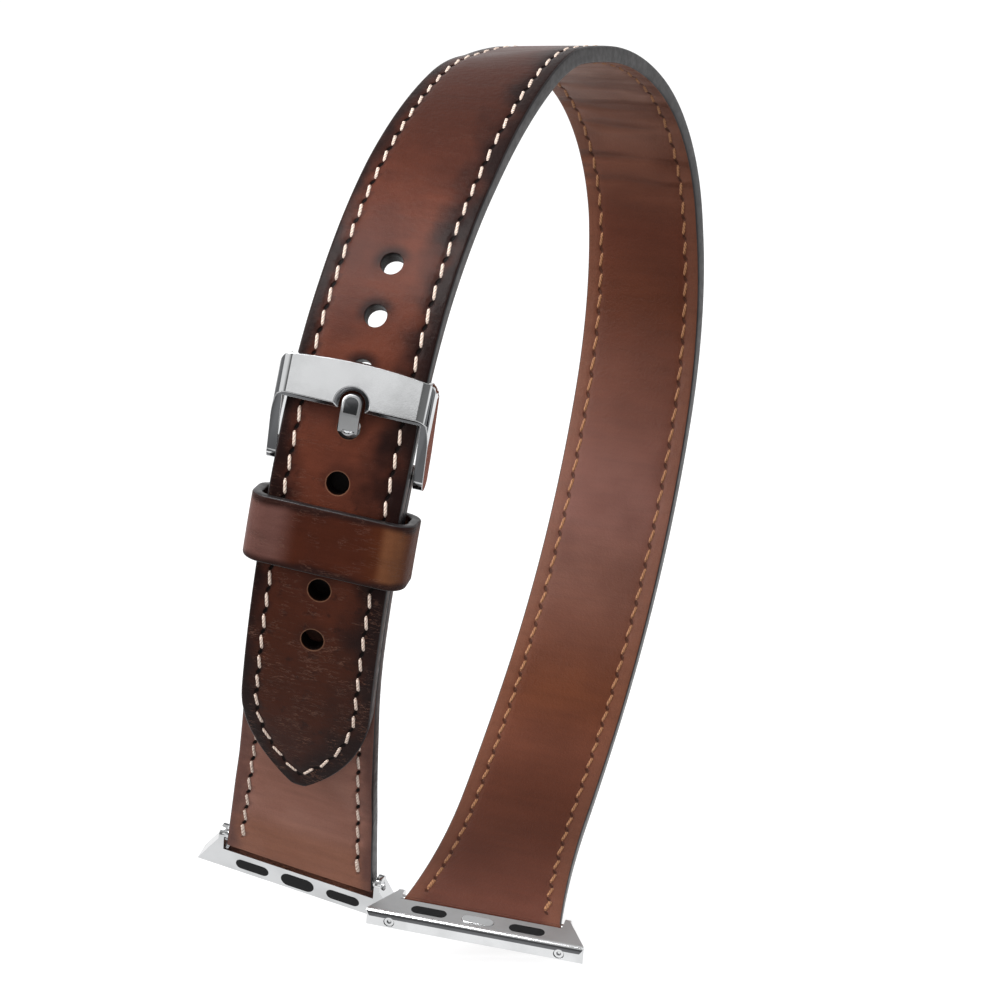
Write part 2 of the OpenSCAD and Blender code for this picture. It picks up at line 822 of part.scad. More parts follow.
long_strap_leather();
long_strap_lining();
long_strap_top_thread();
long_strap_lining_thread();
short_strap_leather();
short_strap_lining();
short_strap_top_thread();
short_strap_lining_thread();
keeper_loop();
keeper_seam_thread();
buckle_frame();
buckle_tongue();
spring_bar_tube();
spring_bar_spring();
spring_bar_left_tip();
spring_bar_right_tip();
long_adapter_rail();
long_adapter_hinge_bar();
long_adapter_screws();
long_adapter_wrist_pads();
long_adapter_outer_pads();
long_adapter_latch();
long_adapter_latch_spring();
short_adapter_rail();
short_adapter_hinge_bar();
short_adapter_screws();
short_adapter_wrist_pads();
short_adapter_outer_pads();
short_adapter_latch();
short_adapter_latch_spring();
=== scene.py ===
import math
import bmesh
import bpy
import numpy as np
from mathutils import Matrix, Vector


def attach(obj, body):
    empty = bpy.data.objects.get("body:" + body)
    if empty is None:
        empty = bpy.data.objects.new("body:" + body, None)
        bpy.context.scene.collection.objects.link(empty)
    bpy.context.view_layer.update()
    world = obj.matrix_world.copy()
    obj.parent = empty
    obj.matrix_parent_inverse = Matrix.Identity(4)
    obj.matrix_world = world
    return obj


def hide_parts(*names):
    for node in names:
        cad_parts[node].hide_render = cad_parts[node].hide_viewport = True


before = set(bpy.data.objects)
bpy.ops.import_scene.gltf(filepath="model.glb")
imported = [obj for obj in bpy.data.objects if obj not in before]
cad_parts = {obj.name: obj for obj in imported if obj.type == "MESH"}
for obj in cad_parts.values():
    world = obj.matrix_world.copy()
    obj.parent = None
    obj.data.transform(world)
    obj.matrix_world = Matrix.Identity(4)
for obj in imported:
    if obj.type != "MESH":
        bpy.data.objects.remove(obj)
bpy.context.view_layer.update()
bpy.ops.object.select_all(action="DESELECT")
mm = 0.001

# The strap's route in mm and degrees: each run is its length, its bend inwards and its twist.
route = {
    "back": [[12, 7, 3], [19, 22, 3], [33, 53, 3], [31, 32, -9.5], [58, 36.5, -10], [51, 16, 2]],
    "front": [[11, 16.5, -5], [25, 19, -8.5], [22, 20.5, -2.5], [21, 23, -8], [46, 33.5, 0],
              [7, 0.5, 3], [7, 0.2, 2]],
    "short": [[6, 1, -1.5], [15, 1, 3]],
    "halfThick": 1.3,       # half the strap's thickness
    "underStep": 2.9,       # from the long strap down to the short one below it
}
strap = {
    "halfWidth": 10, "endFlare": 2.2, "longFlare": 28, "shortFlare": 46,
    "tailLength": 17, "tipWidth": 1.6,
    "split": -0.1,          # height where the outer leather meets the lining
    "firstHole": 53.3, "holePitch": 8.2, "holeCount": 8, "holeRadius": 1.65, "holeRound": 0.12,
    # Distances from a hole's middle: where its raw wall ends, its pale rim (a painted highlight) comes and
    # goes, its painted shade fades.
    "holeWall": (1.68, 1.73), "holeRimHighlight": (1.70, 1.76, 1.80, 1.92), "holeShade": (1.7, 3.6),
    "stitchPitch": 3.55, "stitchInset": 2.4, "stitchStart": 4.4,
    "pin": 83.5, "keeper": 94.7,        # down the front from the loop's top
    "pastPin": 1.7,                     # the short strap's end beyond the pin
    "rimRound": 0.36, "crown": 0.10, "groove": 0.10, "dent": 0.30,
}
backLength = sum(run[0] for run in route["back"])
frontLength = sum(run[0] for run in route["front"])
shortLength = sum(run[0] for run in route["short"])
tailRise = strap["halfWidth"] - strap["tipWidth"] / 2
tailRadius = (strap["tailLength"] ** 2 + tailRise ** 2) / (2 * tailRise)
tailMiddle = tailRadius - strap["halfWidth"]


def alongRun(run, distance):
    turn = Vector((-math.radians(run[1]), math.radians(run[2]), 0)) / run[0]
    rate = turn.length
    u = turn / rate
    y = Vector((0, 1, 0))
    angle = rate * distance
    side = u * u.dot(y)
    move = side * distance + (y - side) * math.sin(angle) / rate + u.cross(y) * (1 - math.cos(angle)) / rate
    return Matrix.Translation(move) @ Matrix.Rotation(angle, 4, u)


def follow(start, runs, distance):
    place = start
    for run in runs[:-1]:
        if distance <= run[0]:
            return place @ alongRun(run, distance)
        place = place @ alongRun(run, run[0])
        distance -= run[0]
    return place @ alongRun(runs[-1], distance)


turnRound = Matrix.Diagonal((-1, -1, 1, 1))
loopTop = Matrix.Translation((0, 0, route["halfThick"]))
underneath = Matrix.Translation((0, 0, -route["underStep"]))


def frontAt(s):
    return follow(loopTop @ turnRound, route["front"], s)


def underAt(s):
    if s <= frontLength:
        return frontAt(s) @ underneath
    return follow(frontAt(frontLength) @ underneath, route["short"], s - frontLength)


def longAt(t):
    return frontAt(-t) @ turnRound if t < 0 else follow(loopTop, route["back"], t)


def longHalf(t):
    d = t + frontLength
    if d < strap["tailLength"]:
        return math.sqrt(max(0, tailRadius ** 2 - (strap["tailLength"] - d) ** 2)) - tailMiddle
    return strap["halfWidth"] + strap["endFlare"] * max(0, 1 - (backLength - t) / strap["longFlare"]) ** 2


def shortHalf(s):
    left = frontLength + shortLength - s
    return strap["halfWidth"] + strap["endFlare"] * max(0, 1 - left / strap["shortFlare"]) ** 1.5


# Helpers for modelling.
def onlySelect(piece):
    bpy.ops.object.select_all(action="DESELECT")
    piece.select_set(True)
    bpy.context.view_layer.objects.active = piece


def enter(mode):
    bpy.ops.object.mode_set(mode=mode)


def smoothTo(piece, degrees):
    onlySelect(piece)
    bpy.ops.object.shade_smooth_by_angle(angle=math.radians(degrees))


def nameIt(name):
    piece = bpy.context.object
    piece.name = name
    piece.data.name = name
    return piece


def applyAll(piece):
    onlySelect(piece)
    for modifier in list(piece.modifiers):
        bpy.ops.object.modifier_apply(modifier=modifier.name)


def settle(piece):
    onlySelect(piece)
    bpy.ops.object.transform_apply(location=True, rotation=True, scale=True)


def points(piece):
    co = np.zeros(len(piece.data.vertices) * 3)
    piece.data.vertices.foreach_get("co", co)
    return co.reshape(-1, 3)


def setPoints(piece, co):
    piece.data.vertices.foreach_set("co", np.asarray(co, float).ravel())
    piece.data.update()


def layAlong(piece, placeAt):
    # A piece made flat, in mm, with y along the strap, is bent to the loop and turned to metres.
    places = {}
    laid = []
    for x, y, z in points(piece):
        key = round(y, 3)
        if key not in places:
            places[key] = placeAt(key)
        laid.append(places[key] @ Vector((x, y - key, z)) * mm)
    setPoints(piece, laid)


def finishPiece(piece, material, body, slot, *nodes):
    if material:
        piece.data.materials.clear()
        piece.data.materials.append(material)
    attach(piece, body)
    if nodes:
        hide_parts(*nodes)
    return piece


# Helpers for shader nodes.
def srgb(*colour):
    return tuple(c / 255 / 12.92 if c <= 10.3 else ((c / 255 + 0.055) / 1.055) ** 2.4 for c in colour) + (1,)


def scaled(colour, factor):
    return tuple(c * factor for c in colour[:3]) + (1,)


def put(tree, socket, value):
    if isinstance(value, bpy.types.NodeSocket):
        tree.links.new(value, socket)
    else:
        socket.default_value = value


def calc(tree, operation, a, b=0.0):
    node = tree.nodes.new("ShaderNodeMath")
    node.operation = operation
    put(tree, node.inputs[0], a)
    put(tree, node.inputs[1], b)
    return node.outputs[0]


def plus(tree, a, b):
    return calc(tree, "ADD", a, b)


def minus(tree, a, b):
    return calc(tree, "SUBTRACT", a, b)


def times(tree, a, b):
    return calc(tree, "MULTIPLY", a, b)


def magnitude(tree, a):
    return calc(tree, "ABSOLUTE", a)


def diagonal(tree, a, b):
    return calc(tree, "SQRT", plus(tree, times(tree, a, a), times(tree, b, b)))


def between(tree, value, low, high, lowOut=0.0, highOut=1.0, smooth=True):
    node = tree.nodes.new("ShaderNodeMapRange")
    node.interpolation_type = "SMOOTHSTEP" if smooth else "LINEAR"
    for socket, amount in zip(node.inputs[:5], (value, low, high, lowOut, highOut)):
        put(tree, socket, amount)
    return node.outputs[0]


def blendColour(tree, factor, a, b, kind="MIX"):
    node = tree.nodes.new("ShaderNodeMix")
    node.data_type = "RGBA"
    node.blend_type = kind
    put(tree, node.inputs[0], factor)
    put(tree, node.inputs[6], a)
    put(tree, node.inputs[7], b)
    return node.outputs[2]


def noise(tree, vector, scale, detail=3.0, rough=0.5, stretch=None):
    if stretch:
        mapping = tree.nodes.new("ShaderNodeMapping")
        mapping.inputs["Scale"].default_value = stretch
        put(tree, mapping.inputs["Vector"], vector)
        vector = mapping.outputs[0]
    node = tree.nodes.new("ShaderNodeTexNoise")
    put(tree, node.inputs["Vector"], vector)
    put(tree, node.inputs["Scale"], scale)
    node.inputs["Detail"].default_value = detail
    node.inputs["Roughness"].default_value = rough
    return node.outputs["Fac"]


def bumpOn(tree, height, strength, distance, under=None):
    node = tree.nodes.new("ShaderNodeBump")
    node.inputs["Strength"].default_value = strength
    node.inputs["Distance"].default_value = distance
    put(tree, node.inputs["Height"], height)
    if under is not None:
        put(tree, node.inputs["Normal"], under)
    return node.outputs[0]


def startGroup(name, inputs, outputs):
    group = bpy.data.node_groups.new(name, "ShaderNodeTree")
    for label, kind, value in inputs:
        socket = group.interface.new_socket(name=label, in_out="INPUT", socket_type="NodeSocket" + kind)
        if value is not None:
            socket.default_value = value
    for label, kind in outputs:
        group.interface.new_socket(name=label, in_out="OUTPUT", socket_type="NodeSocket" + kind)
    return group, group.nodes.new("NodeGroupInput"), group.nodes.new("NodeGroupOutput")


def useGroup(tree, group, **values):
    node = tree.nodes.new("ShaderNodeGroup")
    node.node_tree = group
    for label, value in values.items():
        put(tree, node.inputs[label], value)
    return node.outputs


def startMaterial(name):
    material = bpy.data.materials.new(name)
    material.use_nodes = True
    tree = material.node_tree
    return material, tree, tree.nodes["Principled BSDF"]


def readAttribute(tree, name):
    node = tree.nodes.new("ShaderNodeAttribute")
    node.attribute_name = name
    return node.outputs["Vector"]


def objectPlace(tree):
    return tree.nodes.new("ShaderNodeTexCoord").outputs["Object"]


def splitVector(tree, vector):
    node = tree.nodes.new("ShaderNodeSeparateXYZ")
    put(tree, node.inputs[0], vector)
    return node.outputs


def makeGrainGroup():
    # Leather grain: small cells, finer pores and long soft folds across the strap. Place is in mm.
    group, given, out = startGroup(
        "leatherGrain",
        [("Place", "Vector", None), ("Cell", "Float", 1.6), ("Fold", "Float", 0.3)],
        [("Height", "Float"), ("Tone", "Float"), ("Cloud", "Float")])
    place = given.outputs["Place"]
    cells = group.nodes.new("ShaderNodeTexVoronoi")
    cells.feature = "SMOOTH_F1"
    put(group, cells.inputs["Vector"], place)
    put(group, cells.inputs["Scale"], given.outputs["Cell"])
    fine = noise(group, place, 5.0, 4.0, 0.6)
    folds = noise(group, place, 1.0, 3.0, 0.55, (0.10, 0.65, 0.3))
    cloud = noise(group, place, 0.11, 2.0, 0.5)
    height = plus(group, times(group, cells.outputs["Distance"], 0.35), times(group, fine, 0.45))
    height = plus(group, height, times(group, folds, given.outputs["Fold"]))
    put(group, out.inputs["Height"], height)
    put(group, out.inputs["Tone"], plus(group, times(group, fine, 0.5), times(group, folds, 0.5)))
    put(group, out.inputs["Cloud"], cloud)
    return group


needleMark = {"slant": 1.2, "width": 0.34, "length": 0.17}      # slant and width in mm, length in stitches


def makeSeamGroup():
    # Needle holes between the stitches. Seam is the distance from the edge in mm, the stitch count,
    # and 1 where it is sewn. Side is above 0 on one side of the strap's middle and below 0 on the other.
    group, given, out = startGroup(
        "needleHoles",
        [("Seam", "Vector", None), ("Side", "Float", 1.0)],
        [("Hole", "Float"), ("Track", "Float")])
    inset, count, sewn = splitVector(group, given.outputs["Seam"])
    fraction = minus(group, calc(group, "FRACT", count), 0.5)
    side = calc(group, "SIGN", given.outputs["Side"])
    across = times(group, minus(group, inset, strap["stitchInset"]), side)
    across = plus(group, across, times(group, fraction, needleMark["slant"]))
    across = calc(group, "DIVIDE", across, needleMark["width"])
    fromGap = calc(group, "DIVIDE", magnitude(group, fraction), needleMark["length"])
    hole = between(group, diagonal(group, across, fromGap), 0.5, 1.1, 1.0, 0.0)
    track = between(group, magnitude(group, across), 0.6, 2.2, 1.0, 0.0)
    put(group, out.inputs["Hole"], times(group, hole, sewn))
    put(group, out.inputs["Track"], times(group, track, sewn))
    return group


grainGroup = makeGrainGroup()
seamGroup = makeSeamGroup()


def toneAlong(tree, t, stops):
    # Colours at places along the strap, in mm, run softly into each other.
    first, last = stops[0][0], stops[-1][0]
    node = tree.nodes.new("ShaderNodeValToRGB")
    node.color_ramp.interpolation = "EASE"
    put(tree, node.inputs[0], between(tree, t, first, last, smooth=False))
    ramp = node.color_ramp.elements
    ramp[0].color, ramp[1].color = stops[0][1], stops[-1][1]
    for place, colour in stops[1:-1]:
        ramp.new((place - first) / (last - first)).color = colour
    return node.outputs[0]


def holeDistance(tree, flat):
    # Distance in mm from the middle of the nearest adjusting hole, and the part of it along the strap.
    x, t = splitVector(tree, flat)[:2]
    step = calc(tree, "DIVIDE", minus(tree, times(tree, t, -1.0), strap["firstHole"]), strap["holePitch"])
    nearest = calc(tree, "MAXIMUM", calc(tree, "ROUND", step), 0.0)
    nearest = calc(tree, "MINIMUM", nearest, strap["holeCount"] - 1.0)
    along = times(tree, minus(tree, step, nearest), strap["holePitch"])
    return diagonal(tree, x, along), along


def bandsOn(tree, body, place, bands):
    # Each band, in mm, is fullest in its middle third and fades to nothing at its ends.
    for low, high, colour, amount in bands:
        middle, half = (low + high) / 2, (high - low) / 2
        off = magnitude(tree, minus(tree, place, middle))
        body = blendColour(tree, between(tree, off, half * 0.35, half, amount, 0.0), body, colour)
    return body


def shadeBy(tree, body, tone):
    grey = tree.nodes.new("ShaderNodeCombineColor")
    for socket in grey.inputs[:3]:
        put(tree, socket, tone)
    return blendColour(tree, 1.0, body, grey.outputs[0], "MULTIPLY")


def makeOuterLeather(name, look):
    material, tree, shader = startMaterial(name)
    flat = readAttribute(tree, "flat")
    seam = readAttribute(tree, "seam")
    x, t = splitVector(tree, flat)[:2]
    inset = splitVector(tree, seam)[0]
    grain = useGroup(tree, grainGroup, Place=flat, Cell=look["cell"], Fold=look["fold"])
    needle = useGroup(tree, seamGroup, Seam=seam, Side=x)
    # Two browns in soft clouds, darkened towards the edge as hand burnishing leaves them.
    body = blendColour(tree, between(tree, grain["Cloud"], 0.36, 0.66), look["warm"], look["deep"])
    # Bands along the strap and across it: partly the leather's own colour, partly painted light and shade, as
    # each look says.
    body = bandsOn(tree, body, t, look["bands"])
    body = bandsOn(tree, body, x, look["sides"])
    width = between(tree, x, -4.0, 5.0, look["burnish"][0], look["burnish"][1])
    if look["holes"]:
        place, inner, outer, wider = look["widerBurnish"]
        off = magnitude(tree, minus(tree, t, place))
        width = times(tree, width, between(tree, off, inner, outer, wider, 1.0))
    drift = between(tree, noise(tree, flat, 0.16, 2.0, 0.5), 0.3, 0.7, -0.3, 0.3, smooth=False)
    reach = minus(tree, inset, times(tree, width, drift))
    body = blendColour(tree, between(tree, reach, 0.4, width), look["edge"], body)
    body = shadeBy(tree, body, between(tree, grain["Tone"], 0.3, 0.72, 0.80, 1.18, smooth=False))
    # Small dark blotches and fine pale creases, strongest near the tail.
    blotch = between(tree, noise(tree, flat, 0.55, 3.0, 0.6), 0.56, 0.70)
    nearTail = between(tree, t, look["creaseFrom"] + 20, look["creaseTo"] + 10, look["blotch"], 0.0)
    blotch = times(tree, blotch, nearTail)
    body = blendColour(tree, blotch, body, look["edge"])
    crease = noise(tree, flat, 1.0, 4.0, 0.62, (0.28, 1.5, 0.4))
    ridge = magnitude(tree, minus(tree, crease, 0.5))
    worn = between(tree, t, look["creaseFrom"], look["creaseTo"], look["creaseMost"], look["creaseLeast"])
    patchy = between(tree, noise(tree, flat, 0.35, 2.0), 0.45, 0.62)
    line = times(tree, times(tree, between(tree, ridge, 0.004, 0.022, 1.0, 0.0), worn), patchy)
    body = blendColour(tree, line, body, look["crease"])
    if look["holes"]:
        # Painted shade above and beside each hole, a pale rim painted as highlight on the lower ones, and a
        # raw wall painted near black as shade.
        away, along = holeDistance(tree, flat)
        near, far = strap["holeShade"]
        shade = between(tree, away, near, far, 1.0, 0.0)
        slanting = plus(tree, along, times(tree, x, 0.5))
        shade = times(tree, shade, between(tree, slanting, -1.4, 1.2, 1.0, 0.1))
        shade = times(tree, shade, between(tree, t, -80.0, -66.0, 0.35, 0.9))
        body = blendColour(tree, shade, body, look["edge"])
        a, b, c, d = strap["holeRimHighlight"]
        rim = times(tree, between(tree, away, a, b), between(tree, away, c, d, 1.0, 0.0))
        rim = times(tree, rim, between(tree, t, -92.0, -72.0, 0.45, 0.0))
        body = blendColour(tree, rim, body, look["rim"])
        near, far = strap["holeWall"]
        body = blendColour(tree, between(tree, away, near, far, 1.0, 0.0), body, look["rawWallShade"])
    body = blendColour(tree, times(tree, needle["Track"], 0.35), body, look["edge"])
    # Needle holes painted near black, the shade inside them.
    body = blendColour(tree, needle["Hole"], body, look["needle"])
    put(tree, shader.inputs["Base Color"], body)
    low, high = look["rough"]
    gloss = between(tree, grain["Tone"], 0.3, 0.7, low, high, smooth=False)
    put(tree, shader.inputs["Roughness"], plus(tree, gloss, times(tree, needle["Hole"], 0.4)))
    shader.inputs["Specular IOR Level"].default_value = look["shine"]
    shader.inputs["Coat Weight"].default_value = look["coat"]
    shader.inputs["Coat Roughness"].default_value = 0.22
    first = bumpOn(tree, grain["Height"], look["bump"], 0.0004)
    sunk = plus(tree, needle["Hole"], times(tree, line, 0.4))
    put(tree, shader.inputs["Normal"], bumpOn(tree, sunk, 0.7, -0.0005, first))
    return material


def makeLiningLeather(name, look):
    material, tree, shader = startMaterial(name)
    flat = readAttribute(tree, "flat")
    seam = readAttribute(tree, "seam")
    x, t = splitVector(tree, flat)[:2]
    inset = splitVector(tree, seam)[0]
    grain = useGroup(tree, grainGroup, Place=flat, Cell=2.2, Fold=0.25)
    needle = useGroup(tree, seamGroup, Seam=seam, Side=x)
    # Tones along the lining: partly its own colour, partly painted highlight and shade.
    body = toneAlong(tree, t, look["tonesWithPaintedLight"])
    body = blendColour(tree, between(tree, grain["Cloud"], 0.30, 0.72, 0.0, 0.35), body, look["deep"])
    body = blendColour(tree, between(tree, inset, 1.2, 3.4, 0.45, 0.0), body, look["side"])
    body = shadeBy(tree, body, between(tree, grain["Tone"], 0.3, 0.72, 0.86, 1.14, smooth=False))
    # Long folds where the loop bends most, bumped and darkened as painted shade in their hollows.
    fold = noise(tree, flat, 1.0, 1.0, 0.4, (0.05, 0.24, 0.2))
    begins = between(tree, t, look["foldFrom"], look["foldFrom"] + 12)
    ends = between(tree, t, look["foldTo"] - 14, look["foldTo"], 1.0, 0.0)
    deep = times(tree, between(tree, fold, 0.40, 0.66), times(tree, begins, ends))
    body = blendColour(tree, times(tree, deep, 0.45), body, look["deep"])
    # Needle holes painted darker, the shade inside them.
    body = blendColour(tree, times(tree, needle["Hole"], 0.7), body, look["needle"])
    near, far = strap["holeWall"]
    away = holeDistance(tree, flat)[0]
    # The raw hole wall painted near black, as the shade inside the hole.
    body = blendColour(tree, between(tree, away, near, far, 1.0, 0.0), body, look["rawWallShade"])
    put(tree, shader.inputs["Base Color"], body)
    put(tree, shader.inputs["Roughness"], between(tree, grain["Tone"], 0.3, 0.7, 0.42, 0.58, smooth=False))
    shader.inputs["Specular IOR Level"].default_value = 0.2
    first = bumpOn(tree, grain["Height"], 0.30, 0.0004)
    second = bumpOn(tree, deep, 0.55, -0.0012, first)
    third = bumpOn(tree, needle["Hole"], 0.6, -0.0004, second)
    put(tree, shader.inputs["Normal"], third)
    return material


def makeEdgePaint(name, colour):
    material, tree, shader = startMaterial(name)
    place = objectPlace(tree)
    uneven = noise(tree, place, 900.0, 3.0, 0.55)
    lumps = noise(tree, place, 220.0, 2.0, 0.5)
    body = blendColour(tree, between(tree, lumps, 0.35, 0.65), colour, scaled(colour, 1.7))
    put(tree, shader.inputs["Base Color"], body)
    put(tree, shader.inputs["Roughness"], between(tree, uneven, 0.3, 0.7, 0.28, 0.44, smooth=False))
    shader.inputs["Specular IOR Level"].default_value = 0.35
    height = plus(tree, lumps, times(tree, uneven, 0.4))
    put(tree, shader.inputs["Normal"], bumpOn(tree, height, 0.35, 0.0003))
    return material


def makeThread(name, light, dark):
    material, tree, shader = startMaterial(name)
    uv = tree.nodes.new("ShaderNodeUVMap")
    uv.uv_map = "twist"
    across, along = splitVector(tree, uv.outputs[0])[:2]
    # Three plies wind round the thread, with painted shade in the valley between each two.
    ply = calc(tree, "FRACT", plus(tree, times(tree, across, 3.0), times(tree, along, 4.0)))
    valley = between(tree, magnitude(tree, minus(tree, ply, 0.5)), 0.30, 0.5)
    place = objectPlace(tree)
    fuzz = noise(tree, place, 3000.0, 3.0, 0.6)
    colour = blendColour(tree, valley, light, dark)
    colour = blendColour(tree, between(tree, fuzz, 0.35, 0.7, 0.0, 0.3), colour, dark)
    put(tree, shader.inputs["Base Color"], colour)
    put(tree, shader.inputs["Roughness"], between(tree, fuzz, 0.3, 0.7, 0.5, 0.7, smooth=False))
    height = minus(tree, times(tree, fuzz, 0.3), valley)
    put(tree, shader.inputs["Normal"], bumpOn(tree, height, 0.7, 0.00012))
    return material


def makeMetal(name, colour, rough, uneven, grainScale, grainDepth):
    material, tree, shader = startMaterial(name)
    place = objectPlace(tree)
    speck = noise(tree, place, grainScale, 3.0, 0.6)
    haze = noise(tree, place, 180.0, 3.0, 0.55)
    body = blendColour(tree, between(tree, haze, 0.35, 0.7), colour, scaled(colour, 0.88))
    put(tree, shader.inputs["Base Color"], body)
    shader.inputs["Metallic"].default_value = 1.0
    put(tree, shader.inputs["Roughness"], between(tree, haze, 0.3, 0.7, rough, rough + uneven, smooth=False))
    put(tree, shader.inputs["Normal"], bumpOn(tree, speck, grainDepth, 0.00004))
    return material


def makePadMaterial(name, dark, light):
    material, tree, shader = startMaterial(name)
    place = objectPlace(tree)
    speck = noise(tree, place, 2600.0, 3.0, 0.6)
    body = blendColour(tree, between(tree, speck, 0.3, 0.7), dark, light)
    put(tree, shader.inputs["Base Color"], body)
    put(tree, shader.inputs["Roughness"], between(tree, speck, 0.3, 0.7, 0.5, 0.7, smooth=False))
    shader.inputs["Specular IOR Level"].default_value = 0.2
    put(tree, shader.inputs["Normal"], bumpOn(tree, speck, 0.4, 0.00006))
    return material


longLook = {
    "warm": srgb(90, 46, 32), "deep": srgb(76, 38, 27), "edge": srgb(28, 13, 11), "crease": srgb(118, 80, 64),
    # The hole rim is a painted highlight; the hole wall and the needle holes are painted near black, as
    # shade.
    "rim": srgb(150, 112, 88), "rawWallShade": srgb(12, 7, 6), "needle": srgb(14, 8, 7),
    "burnish": (3.4, 7.4),                      # width of the dark edge on the left and on the right
    "widerBurnish": (-81.0, 6.0, 18.0, 1.45),   # widened round this place, in full to 6 mm and fading to 18
    "cell": 1.5, "fold": 0.35, "rough": (0.29, 0.44), "shine": 0.10, "coat": 0.03, "bump": 0.30,
    "creaseFrom": -124.0, "creaseTo": -70.0, "creaseMost": 0.7, "creaseLeast": 0.06,
    "holes": True, "blotch": 0.55, "sides": [],
    # The first band paints the loop's top darker, painted shade against the top lamp; the others are the
    # tail's own darker colour.
    "bands": [(-44, 20, srgb(60, 29, 20), 0.9), (-160, -92, srgb(60, 26, 12), 0.9),
              (-146, -124, srgb(46, 28, 25), 0.5)],
}
# Same leather painted far lighter as a painted sheen, less near its end, and near black as painted shade
# where the long strap covers it.
shortLookPaintedLight = dict(
    longLook, warm=srgb(150, 106, 92), deep=srgb(141, 97, 83), edge=srgb(104, 70, 62), burnish=(3.0, 3.6),
    blotch=0.0, creaseMost=0.0, creaseLeast=0.0, holes=False, fold=0.12,
    bands=[(149, 165, srgb(140, 90, 66), 0.55), (40, 133, srgb(20, 12, 10), 1.0)])
keeperLook = dict(
    longLook, warm=srgb(68, 31, 18), deep=srgb(60, 27, 17), edge=srgb(40, 20, 16), burnish=(1.5, 1.5),
    blotch=0.0, creaseMost=0.25, creaseLeast=0.25, holes=False, bands=[],
    # Painted light on the keeper's curved ends: a pinkish grey painted reflection at +x, a warmer brown at -x
    # with a painted highlight.
    sides=[(4, 16, srgb(104, 72, 66), 0.75), (-16, -5, srgb(78, 38, 18), 0.8),
           (-12.4, -7.6, srgb(132, 88, 60), 0.45)])
liningLook = {
    "deep": srgb(72, 34, 20), "side": srgb(118, 76, 58), "needle": srgb(56, 30, 20),
    "rawWallShade": srgb(12, 7, 6), "foldFrom": 12.0, "foldTo": 66.0,
    # Partly the lining's own colour and partly painted light and shade; the pale stretch round 30 mm is a
    # painted highlight.
    "tonesWithPaintedLight": [
        (-139, srgb(96, 54, 36)), (-20, srgb(140, 100, 86)), (30, srgb(164, 128, 114)),
        (42, srgb(132, 90, 74)), (54, srgb(108, 65, 49)), (66, srgb(86, 42, 26)), (78, srgb(82, 38, 18)),
        (90, srgb(94, 51, 36)), (114, srgb(110, 70, 60)), (126, srgb(103, 64, 51)), (150, srgb(96, 50, 28)),
        (162, srgb(98, 53, 36)), (174, srgb(84, 42, 26)), (204, srgb(98, 56, 44)),
    ],
}
longLeather = makeOuterLeather("longStrapLeather", longLook)
shortLeatherPaintedLight = makeOuterLeather("shortStrapLeatherPaintedLight", shortLookPaintedLight)
keeperLeather = makeOuterLeather("keeperLeather", keeperLook)
liningLeather = makeLiningLeather("strapLining", liningLook)
edgePaint = makeEdgePaint("edgePaint", srgb(30, 27, 28))
creamThread = makeThread("creamThread", srgb(240, 222, 208), srgb(176, 140, 120))
tanThread = makeThread("tanThread", srgb(176, 124, 84), srgb(112, 70, 44))
polishedSteel = makeMetal("polishedSteel", (0.86, 0.87, 0.88, 1), 0.06, 0.02, 4000.0, 0.02)
satinSteel = makeMetal("satinSteel", (0.74, 0.75, 0.76, 1), 0.30, 0.10, 5200.0, 0.35)
# A dark copy of the steel for chosen faces: a painted dark reflection.
shadedSteel = makeMetal("shadedSteel", (0.16, 0.163, 0.17, 1), 0.10, 0.05, 4000.0, 0.05)
springSteel = makeMetal("springSteel", (0.45, 0.45, 0.46, 1), 0.30, 0.10, 4000.0, 0.2)
padBlack = makePadMaterial("padBlack", srgb(9, 9, 10), srgb(24, 24, 26))
print("materials ready")


# The tail's stitch line: its radius, the angle from the straight part to the tip, and its stitches a side.
lineRadius = tailRadius - strap["stitchInset"]
tipTurn = math.acos(tailMiddle / lineRadius)
tipStitches = round(lineRadius * tipTurn / strap["stitchPitch"])
straightStart = strap["tailLength"] - frontLength
shortFirst = strap["pin"] - strap["pastPin"]
shortTotal = frontLength + shortLength
shortStitches = strap["pin"] + strap["stitchStart"]


def stitchPhaseLong(x, t):
    # Edge distance, stitch count and whether it is sewn, for a place on the flat long strap.
    rise = straightStart - t
    if rise > 0:
        side = abs(x) + tailMiddle
        turned = math.atan2(rise, side)
        count = -0.5 - tipStitches * turned / tipTurn
        return tailRadius - math.hypot(rise, side), count, 1.0 if turned < tipTurn * 1.02 else 0.0
    sewn = 1.0 if t < backLength - strap["stitchStart"] + 2 else 0.0
    return longHalf(t) - abs(x), -rise / strap["stitchPitch"] - 0.5, sewn


def stitchPhaseShort(x, s):
    sewn = 1.0 if shortStitches - 2 < s < shortTotal - strap["stitchStart"] + 1 else 0.0
    return shortHalf(s) - abs(x), (s - shortStitches) / strap["stitchPitch"], sewn


def markFlat(piece, seamAt):
    # Keeps the flat place of every point, and its place on the seam, for the materials.
    flat = points(piece)
    seam = np.array([seamAt(x, y) for x, y, z in flat])
    for name, values in (("flat", flat), ("seam", seam)):
        attribute = piece.data.attributes.new(name, "FLOAT_VECTOR", "POINT")
        attribute.data.foreach_set("vector", values.astype(np.float32).ravel())


def columnsAt(half):
    # Columns of points across the strap, close together along the seam.
    insets = [0, 0.7, 1.4, 1.9, 2.4, 2.9, 3.4, 4.4]
    inner = [0.88, 0.66, 0.44, 0.22, 0]
    wide = max(half, strap["halfWidth"])
    right = [wide - i for i in insets] + [(wide - insets[-1]) * f for f in inner]
    if half < wide:
        right = [x * half / wide for x in right]
    return [-x for x in right[:-1]] + right[::-1]


